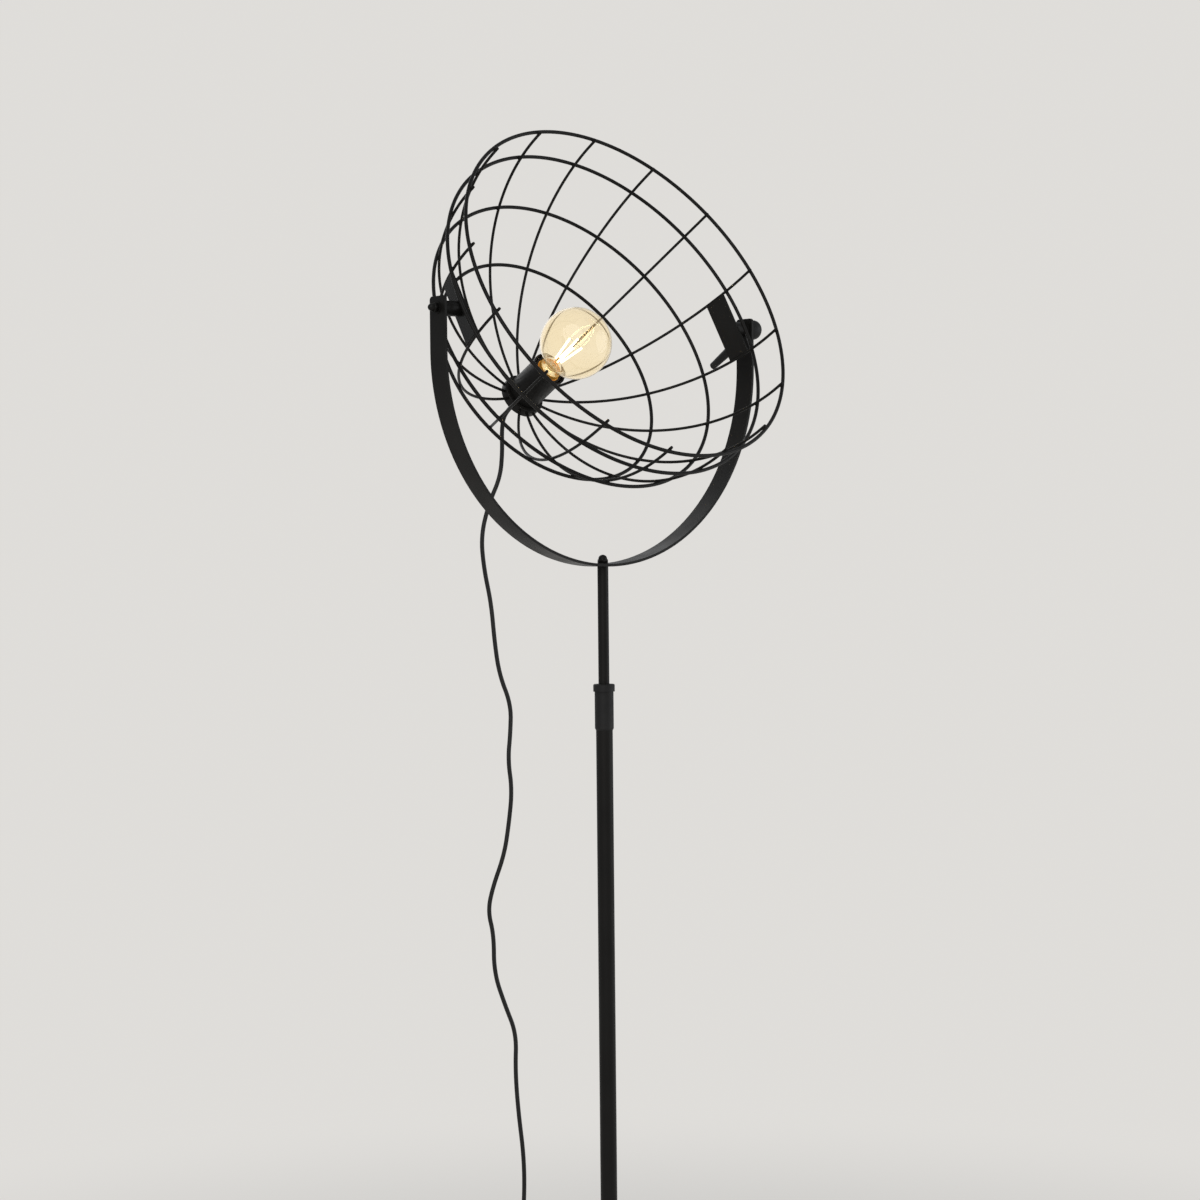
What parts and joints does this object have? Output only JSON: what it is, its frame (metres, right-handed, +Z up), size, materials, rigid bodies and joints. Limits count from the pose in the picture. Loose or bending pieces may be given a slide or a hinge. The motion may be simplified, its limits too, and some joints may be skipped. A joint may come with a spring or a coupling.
{
  "type": "floor lamp",
  "caption": "Floor lamp with an open hemispherical wire cage that tilts in a flat-bar yoke, on a telescopic mast with a twist collar and a round weighted base.",
  "frame": {"origin": "on the floor, at the centre of the base's flat underside, on the mast's axis", "axes": "+Z up the mast, +X along the tilt axis to the clamping lever; the cage's mouth faces -Y and up"},
  "size_m": [0.506, 0.3734, 1.6116],
  "materials": {
    "black_steel": "satin black powder coat",
    "zinc_steel": "zinc-plated turned steel",
    "black_plastic": "fine-grained black plastic",
    "brass": "pressed brass",
    "clear_glass": "clear",
    "cap_glass": "black glass insulator",
    "filament": "lit filament",
    "iron": "raw casting",
    "pad_rubber": "matte",
    "cord_jacket": "smooth black cord jacket",
    "nickel": "nickel-plated"
  },
  "bodies": {
    "stand": {"stand_tube": "black_steel", "foot_plug": "zinc_steel", "ferrule": "black_steel", "base_cover": "black_steel", "base_weight": "iron", "floor_pad": "pad_rubber", "base_washer": "zinc_steel", "base_bolt": "zinc_steel", "split_collet": "black_plastic", "cord_lower": "cord_jacket", "switch_lower_shell": "black_plastic", "switch_upper_shell": "black_plastic", "switch_contact_block": "black_plastic", "switch_reliefs": "black_plastic", "cord_coil": "cord_jacket", "plug_body": "cord_jacket", "plug_pins": "nickel"},
    "collar": {"twist_collar": "black_plastic"},
    "button": {"switch_button": "black_plastic"},
    "mast": {"mast_tube": "black_steel", "mast_plug": "black_steel", "guide_bush": "black_plastic", "mast_washers": "black_steel", "mast_cap_nut": "black_steel"},
    "yoke": {"yoke": "black_steel", "cord_middle": "cord_jacket"},
    "cage": {"rim_hoop": "black_steel", "upper_hoop": "black_steel", "middle_hoop": "black_steel", "lower_hoop": "black_steel", "cage_ribs": "black_steel", "hub_cup": "black_steel", "hub_locknut": "zinc_steel", "pivot_plates": "black_steel", "pivot_bosses": "black_steel", "friction_washers": "black_plastic", "outer_washers": "black_steel", "left_pivot_stud": "zinc_steel", "left_cap_nut": "black_steel", "holder_shell": "black_steel", "holder_core": "black_plastic", "holder_screw_shell": "brass", "holder_contact": "brass", "threaded_nipple": "zinc_steel", "bulb_globe": "clear_glass", "bulb_cap": "brass", "bulb_insulator": "cap_glass", "bulb_eyelet": "brass", "bulb_stem": "clear_glass", "bulb_filaments": "filament", "cord_grip": "black_plastic", "cord_upper": "cord_jacket"},
    "clamp": {"clamp_lever": "black_plastic", "clamp_stud": "zinc_steel"}
  },
  "joints": [
    {"name": "collar_twist", "type": "hinge", "parent": "stand", "child": "collar", "pos_m": [0, 0, 0.975], "axis": [0, 0, 1], "range_deg": [0, 180]},
    {"name": "mast_slide", "type": "slide", "parent": "stand", "child": "mast", "axis": [0, 0, 1], "range_m": [-0.12, 0.25], "deforming": ["cord_lower"]},
    {"name": "yoke_swivel", "type": "hinge", "parent": "mast", "child": "yoke", "pos_m": [0, 0, 1.1304], "axis": [0, 0, 1], "range_deg": [-135, 135], "deforming": ["cord_middle"]},
    {"name": "cage_tilt", "type": "hinge", "parent": "yoke", "child": "cage", "pos_m": [0, 0, 1.3995], "axis": [1, 0, 0], "range_deg": [-60, 90], "deforming": ["cord_upper"]},
    {"name": "clamp_turn", "type": "hinge", "parent": "cage", "child": "clamp", "pos_m": [0.235, 0, 1.3995], "axis": [1, 0, 0], "range_deg": [0, 180]},
    {"name": "button_press", "type": "slide", "parent": "stand", "child": "button", "axis": [0, 0, -1], "range_m": [0, 0.0025], "stiffness_N_per_m": 400}
  ]
}
